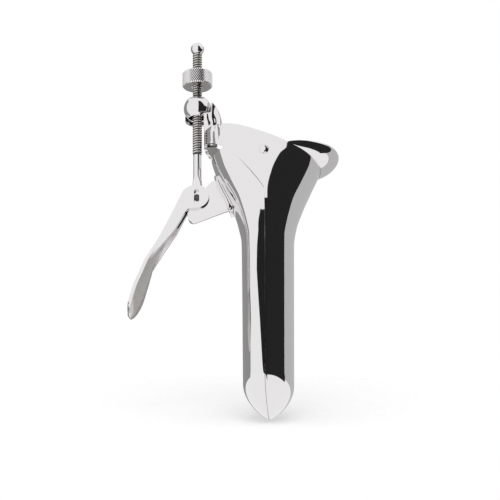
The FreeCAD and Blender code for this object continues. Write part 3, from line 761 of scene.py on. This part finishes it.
def build_lever(s, steel, satin):
    """A strip with a shallow dished spoon, and a tapering side flange to each side that holds the screw's eye."""
    x, z = -s.pin_x, -s.pin_drop
    top, bend, end = (x - 5.4, z + 3.0), (x - 20.2, z - 28.5), (x - 28.1, z - 50.0)
    straight_steps, bow_steps, across = 26, 40, 24
    line = list(zip(spread(top[0], bend[0], straight_steps), spread(top[1], bend[1], straight_steps)))
    slope = math.atan2(bend[0] - top[0], top[1] - bend[1])
    chord = math.atan2(end[0] - bend[0], bend[1] - end[1])
    bow = math.dist(bend, end) / 2 * math.tan((chord - slope) / 2)
    middle = ((bend[0] + end[0]) / 2 + math.cos(chord) * bow, (bend[1] + end[1]) / 2 - math.sin(chord) * bow)
    line += arc_points(bend, middle, end, bow_steps)
    # level from the pin, and half width of the strip there
    width_at = pchip([(-49.6, 0.0), (-49.45, 1.5), (-48.9, 3.4), (-47.6, 5.9), (-45.2, 8.3), (-40.5, s.spoon),
                      (-35.0, 8.7), (-26.0, 5.8), (-15.0, 3.3), (-6.0, 2.55), (6.0, 2.55)])
    points = []
    for i, (px, pz) in enumerate(line):
        before, after = line[max(i - 1, 0)], line[min(i + 1, len(line) - 1)]
        run = math.dist(before, after)
        normal = ((after[1] - before[1]) / run, (before[0] - after[0]) / run)
        width = width_at(pz - z)[0]
        sink = s.dish * min(1.0, max(0.0, (z - 14 - pz) / 16)) * min(1.0, width / 6)
        for c in range(across + 1):
            share = math.sin(math.pi / 2 * (2 * c / across - 1))
            lift = -sink * (1 - share ** 2) + sink * 0.4
            points.append((px + normal[0] * lift, width * share, pz + normal[1] * lift))
    strip = piece("lever_strip", points, grid_faces(len(line), across + 1), "moving",
                  [steel, satin], "handle_lever")
    settle(strip, SOLIDIFY=sheet(strip, s.web, (1, 0, 0)), BEVEL=rounded_edges(s.edge_round, 3, 50))
    paint(strip, lambda px, py, pz, normal: int(normal.x > 0.55 and abs(normal.y) < 0.5))

    # edges of a cheek as (level, x) from the pin: right is the free edge with its round eye, left is on the strip
    right = [(-28.5, -19.0), (-21.2, -13.7), (-14.3, -8.7), (-6.6, -4.6), (-5.6, -3.8), (-5.02, -2.4)]
    right += [(5.0 * math.sin(a), 5.0 * math.cos(a)) for a in spread(-1.5, 1.5, 34)]
    left = [(-28.5, bend[0] - x), (3.0, top[0] - x), (4.3, -3.6), (4.9, -1.8), (5.0, -0.6)]
    levels = spread(-28.5, -6.6, 30) + [-6.2, -5.9, -5.6, -5.3] + [row[0] for row in right[5:]]
    for side, word in ((-1, "near"), (1, "far")):
        points = []
        for level in levels:
            reach = max(s.cheek_outer, width_at(level)[0] + 0.12)
            points += [(x + px, side * reach, z + level)
                       for px in spread(between(left, level), between(right, level), across // 2)]
        cheek = piece("lever_cheek_" + word, points, grid_faces(len(levels), across // 2 + 1), "moving",
                      [steel], "handle_lever")
        cutter = slot_cutter(s, x, z)
        settle(cheek, SOLIDIFY=sheet(cheek, s.cheek_outer - s.cheek_inner, (0, -side, 0)),
               BOOLEAN={"object": cutter, "operation": "DIFFERENCE", "solver": "EXACT"},
               BEVEL=rounded_edges(s.edge_round, 3, 35))
        bpy.data.objects.remove(cutter)


FINISHES = {
    # first word of the name: colour, roughness, how far it wanders, size of its patches, relief
    "Polished": ("steel", 0.035, 0.03, 6.0, polish_waves),  # buffed to a mirror, with slow swells from the wheel
    "Turned": ("turned", 0.14, 0.10, 1.5, turning_rings),  # fine rings of the lathe widen its highlights
    "Forged": ("steel", 0.05, 0.03, 3.0, forged_swells),  # buffed by hand, so its swells break the reflections
    "Inside-shade": ("inside", 0.20, 0.08, 3.0, polish_waves),  # painted shade: the inside is as polished as the outside, but it is drawn darker and duller for the shade inside the blades
    "Painted-shade": ("bore", 0.42, 0.12, 3.0, turning_rings),  # painted shade: a dark grey in the thread's root, the ball's bore, the knurl's grooves and on the cross pin in its slot
    "Satin": ("satin", 0.22, 0.10, 2.5, brushed_grain),  # brushed along its length to a soft grey sheen
}


def finishes(scene, *words):
    """The steel finishes of those names, each made once from the panel's colours."""
    found = []
    for word in words:
        name = word + " stainless steel"
        if name not in bpy.data.materials:
            source, *values = FINISHES[word]
            metal(name, getattr(scene.speculum_finish, source), *values)
        found.append(bpy.data.materials[name])
    return found


def camera_axes(studio):
    """Right, up and towards-camera directions of the photograph's view."""
    a, e = math.radians(studio.azimuth), math.radians(studio.elevation)
    right = Vector((math.cos(a), math.sin(a), 0))
    towards = Vector((math.sin(a) * math.cos(e), -math.cos(a) * math.cos(e), math.sin(e)))
    return right, towards.cross(right), towards


def make_camera(studio):
    """The camera of the photograph, placed so that the pivot's middle falls on its pixel."""
    right, up, towards = camera_axes(studio)
    across = (IMAGE_SIDE / 2 - studio.origin_px) / studio.pixels_per_mm
    along = (studio.origin_py - IMAGE_SIDE / 2) / studio.pixels_per_mm
    lens = bpy.data.cameras.new("view")
    lens.lens, lens.sensor_width = studio.lens, 36.0
    distance = IMAGE_SIDE / studio.pixels_per_mm / lens.sensor_width * lens.lens
    lens.clip_start, lens.clip_end = 0.1, 30.0
    eye = linked("view", lens)
    place = (right * across + up * along + towards * distance) * MM
    eye.matrix_world = Matrix.Translation(place) @ Matrix((right, up, towards)).transposed().to_4x4()
    bpy.context.scene.camera = eye


def card(name, level, rows):
    """A studio card seen only in reflections: a grid of points in millimetres with one even grey level."""
    made, tree = new_material(name)
    glow = node(tree, "Emission", inputs={"Color": (level, level, level, 1), "Strength": 1.0})
    node(tree, "OutputMaterial", links={"Surface": glow.outputs[0]})
    mesh = new_mesh(name, [p for row in rows for p in row], grid_faces(len(rows), len(rows[0])))
    mesh.materials.append(made)
    thing = linked(name, mesh)
    for ray in ("camera", "diffuse", "transmission", "volume_scatter", "shadow"):
        setattr(thing, "visible_" + ray, False)


def round_card(name, level, start, stop, radius, low, tops):
    """A card bent round the object, between two azimuths measured from -Y towards +X.

    tops holds pairs of an azimuth and the level of its upper edge there.
    """
    low_row, high_row = [], []
    for degrees in spread(start, stop, 60):
        a = math.radians(degrees)
        low_row.append((radius * math.sin(a), -radius * math.cos(a), low))
        high_row.append((radius * math.sin(a), -radius * math.cos(a), between(tops, degrees)))
    card(name, level, [low_row, high_row])


def make_cards():
    """Three bent cards round the right and the back, and a narrow dark strip before the moving blade."""
    start, full, lowered, stop = 0.6, 25, 60, 104
    round_card("dark_card_right", 0.02, start, stop, 112, -100,
               [(start, 170), (full, 170), (lowered, 62), (stop, 62)])
    round_card("grey_card_right", 0.52, 106, 178, 150, -80, [(106, 160), (178, 160)])
    round_card("grey_card_left", 0.30, 180, 268, 150, -70, [(180, 160), (268, 160)])
    near, right_edge = -26, 1.4
    left_edge = [(-106, 1.2), (-91, -2.4), (-67, -8.5), (-42, -18), (-33, -16), (-27, -11), (-23, -5)]
    card("dark_card_left", 0.018, [[(left, near, z), (right_edge, near, z)] for z, left in left_edge])


def make_world():
    """White surroundings, a little greyer in reflections than for the camera."""
    world = bpy.data.worlds.new("studio")
    world.use_nodes = True
    tree = world.node_tree
    tree.nodes.clear()
    path = node(tree, "LightPath")
    colour_a, colour_b, mixed = 6, 7, 2  # sockets of the node in its colour mode
    shade = node(tree, "Mix", {"data_type": "RGBA"}, {colour_a: (0.93, 0.93, 0.93, 1), colour_b: (1, 1, 1, 1)},
                     {0: path.outputs["Is Camera Ray"]})
    sky = node(tree, "Background", inputs={"Strength": 1.0}, links={"Color": shade.outputs[mixed]})
    node(tree, "OutputWorld", links={"Surface": sky.outputs[0]})
    bpy.context.scene.world = world


TIP_CENTRE, TIP_AXES = (0, 0, -87), (10.2, 15, 23)  # millimetres; an ellipsoid that stands for the blades' ends
TABLE_TILT, TABLE_HALF = 9, 150  # degrees from the view's upright, and millimetres from the tip to the sides
TABLE_FADE = (0.03, 0.13)  # metres from the tip between which the table fades out
TABLE_WHITE, TABLE_GLOW = 0.86, 0.12  # the paper's colour, and light added so that it is white to the camera
LAMP_PLACE = (0.7, 0.15)  # metres from the tip, along the table's normal and towards the camera


def make_table(studio):
    """The table under the tip, square to the photograph's upright and seen from a little above, and its lamp.

    It shows the soft shadow at the tip, fades out to nothing and is clear from below.
    """
    right, up, towards = camera_axes(studio)
    tilt = math.radians(TABLE_TILT)
    normal = up * math.cos(tilt) + towards * math.sin(tilt)
    side = normal.cross(right).normalized()
    # the ellipsoid's point that is farthest against the normal
    squares = [half ** 2 for half in TIP_AXES]
    drop = math.sqrt(squares[1] * normal.y ** 2 + squares[0] * normal.x ** 2 + squares[2] * normal.z ** 2)
    touch = Vector((0, TIP_CENTRE[1] - squares[1] * normal.y / drop, TIP_CENTRE[2] - squares[2] * normal.z / drop))
    corners = [touch + (right * a + side * b) * TABLE_HALF for a, b in ((-1, -1), (1, -1), (1, 1), (-1, 1))]
    mesh = new_mesh("table_top", corners, [(0, 1, 2, 3)])
    if mesh.polygons[0].normal.dot(normal) < 0:
        mesh.flip_normals()
    made, tree = new_material("White table")
    where = node(tree, "NewGeometry")
    gap = node(tree, "VectorMath", {"operation": "DISTANCE"}, {1: touch * MM}, {0: where.outputs["Position"]})
    fade = node(tree, "MapRange", inputs={
        "From Min": TABLE_FADE[0], "From Max": TABLE_FADE[1], "To Min": 1.0, "To Max": 0.0},
                    links={"Value": gap.outputs["Value"]})
    front = node(tree, "Math", {"operation": "SUBTRACT"}, {0: 1.0}, {1: where.outputs["Backfacing"]})
    solid = node(tree, "Math", {"operation": "MULTIPLY"}, links={0: fade.outputs[0], 1: front.outputs[0]})
    path = node(tree, "LightPath")
    white = node(tree, "Math", {"operation": "MULTIPLY"}, {1: TABLE_GLOW}, {0: path.outputs["Is Camera Ray"]})
    paper = node(tree, "BsdfDiffuse", inputs={"Color": (TABLE_WHITE, TABLE_WHITE, TABLE_WHITE, 1)})
    glow = node(tree, "Emission", inputs={"Color": (1, 1, 1, 1)}, links={"Strength": white.outputs[0]})
    shown = node(tree, "AddShader", links={0: paper.outputs[0], 1: glow.outputs[0]})
    clear = node(tree, "BsdfTransparent")
    mixed = node(tree, "MixShader", links={0: solid.outputs[0], 1: clear.outputs[0], 2: shown.outputs[0]})
    node(tree, "OutputMaterial", links={"Surface": mixed.outputs[0]})
    mesh.materials.append(made)
    table = linked("table_top", mesh)
    table.visible_glossy = False
    lamp = bpy.data.lights.new("key", "AREA")
    lamp.shape, lamp.size, lamp.energy = "DISK", 0.5, 0.9
    holder = linked("key", lamp)
    holder.location = touch * MM + normal * LAMP_PLACE[0] + towards * LAMP_PLACE[1]
    holder.rotation_mode = "QUATERNION"
    holder.rotation_quaternion = (touch * MM - holder.location).to_track_quat("-Z", "Y")
    holder.visible_glossy = False


class SPECULUM_OT_blades(Operator):
    """Press the fixed blade with its collar, and the moving blade"""
    bl_idname = "speculum.blades"
    bl_label = "Blades"

    def execute(self, context):
        scene = context.scene
        steel, inner, forged = finishes(scene, "Polished", "Inside-shade", "Forged")
        build_fixed_blade(scene.speculum_blades, steel, forged, inner)
        build_moving_blade(scene.speculum_blades, steel, inner)
        return {"FINISHED"}


class SPECULUM_OT_rivets(Operator):
    """Set the two rivets the blades turn on"""
    bl_idname = "speculum.rivets"
    bl_label = "Rivets"

    def execute(self, context):
        scene = context.scene
        build_rivets(scene.speculum_rivets, scene.speculum_blades, *finishes(scene, "Polished"))
        return {"FINISHED"}


class SPECULUM_OT_seat(Operator):
    """Make the swivel ball, the ring under it and the arm that carries them"""
    bl_idname = "speculum.seat"
    bl_label = "Ball and seat"

    def execute(self, context):
        scene = context.scene
        build_ball_and_seat(scene.speculum_screw, *finishes(scene, "Polished", "Painted-shade"))
        build_arm(scene.speculum_screw, scene.speculum_blades, *finishes(scene, "Forged"))
        return {"FINISHED"}


class SPECULUM_OT_screw(Operator):
    """Cut the thread, the rod's plain end with its cross pin, and the end ball"""
    bl_idname = "speculum.screw"
    bl_label = "Screw"

    def execute(self, context):
        scene = context.scene
        build_screw(scene.speculum_screw, *finishes(scene, "Polished", "Turned", "Painted-shade"))
        return {"FINISHED"}


class SPECULUM_OT_nut(Operator):
    """Turn and knurl the nut"""
    bl_idname = "speculum.nut"
    bl_label = "Nut"

    def execute(self, context):
        scene = context.scene
        build_nut(scene.speculum_screw, *finishes(scene, "Polished", "Turned", "Painted-shade"))
        return {"FINISHED"}


class SPECULUM_OT_lever(Operator):
    """Bend the lever and set the bracket behind the moving blade"""
    bl_idname = "speculum.lever"
    bl_label = "Lever and bracket"

    def execute(self, context):
        scene = context.scene
        steel, satin = finishes(scene, "Polished", "Satin")
        build_lever(scene.speculum_lever, steel, satin)
        build_bracket(scene.speculum_lever, scene.speculum_blades, steel)
        return {"FINISHED"}


class SPECULUM_OT_studio(Operator):
    """Set up the camera, the white surroundings, the dark cards and the table"""
    bl_idname = "speculum.studio"
    bl_label = "Studio"

    def execute(self, context):
        studio = context.scene.speculum_studio
        make_camera(studio)
        make_world()
        make_table(studio)
        make_cards()
        context.scene.view_settings.view_transform = "Standard"
        return {"FINISHED"}


class SPECULUM_PT_panel(Panel):
    """Lists the steps that build the speculum"""
    bl_idname = "SPECULUM_PT_panel"
    bl_label = "Bivalve Speculum"
    bl_space_type = "VIEW_3D"
    bl_region_type = "UI"
    bl_category = "Speculum"

    def draw(self, context):
        for step in STEPS:
            self.layout.operator(step.bl_idname)


STEPS = (SPECULUM_OT_studio, SPECULUM_OT_blades, SPECULUM_OT_rivets, SPECULUM_OT_seat, SPECULUM_OT_screw,
         SPECULUM_OT_nut, SPECULUM_OT_lever)
GROUPS = {"speculum_blades": BladeSizes, "speculum_rivets": RivetSizes, "speculum_screw": ScrewSizes,
          "speculum_lever": LeverSizes, "speculum_finish": FinishColours, "speculum_studio": StudioSettings}


def register():
    for one in (*GROUPS.values(), *STEPS, SPECULUM_PT_panel):
        bpy.utils.register_class(one)
    for name, group in GROUPS.items():
        setattr(bpy.types.Scene, name, PointerProperty(type=group))


def unregister():
    for name in GROUPS:
        delattr(bpy.types.Scene, name)
    for one in reversed((*GROUPS.values(), *STEPS, SPECULUM_PT_panel)):
        bpy.utils.unregister_class(one)


def main():
    """Runs every step once."""
    register()
    for step in STEPS:
        family, word = step.bl_idname.split(".")
        getattr(getattr(bpy.ops, family), word)()


if __name__ == "__main__":
    main()
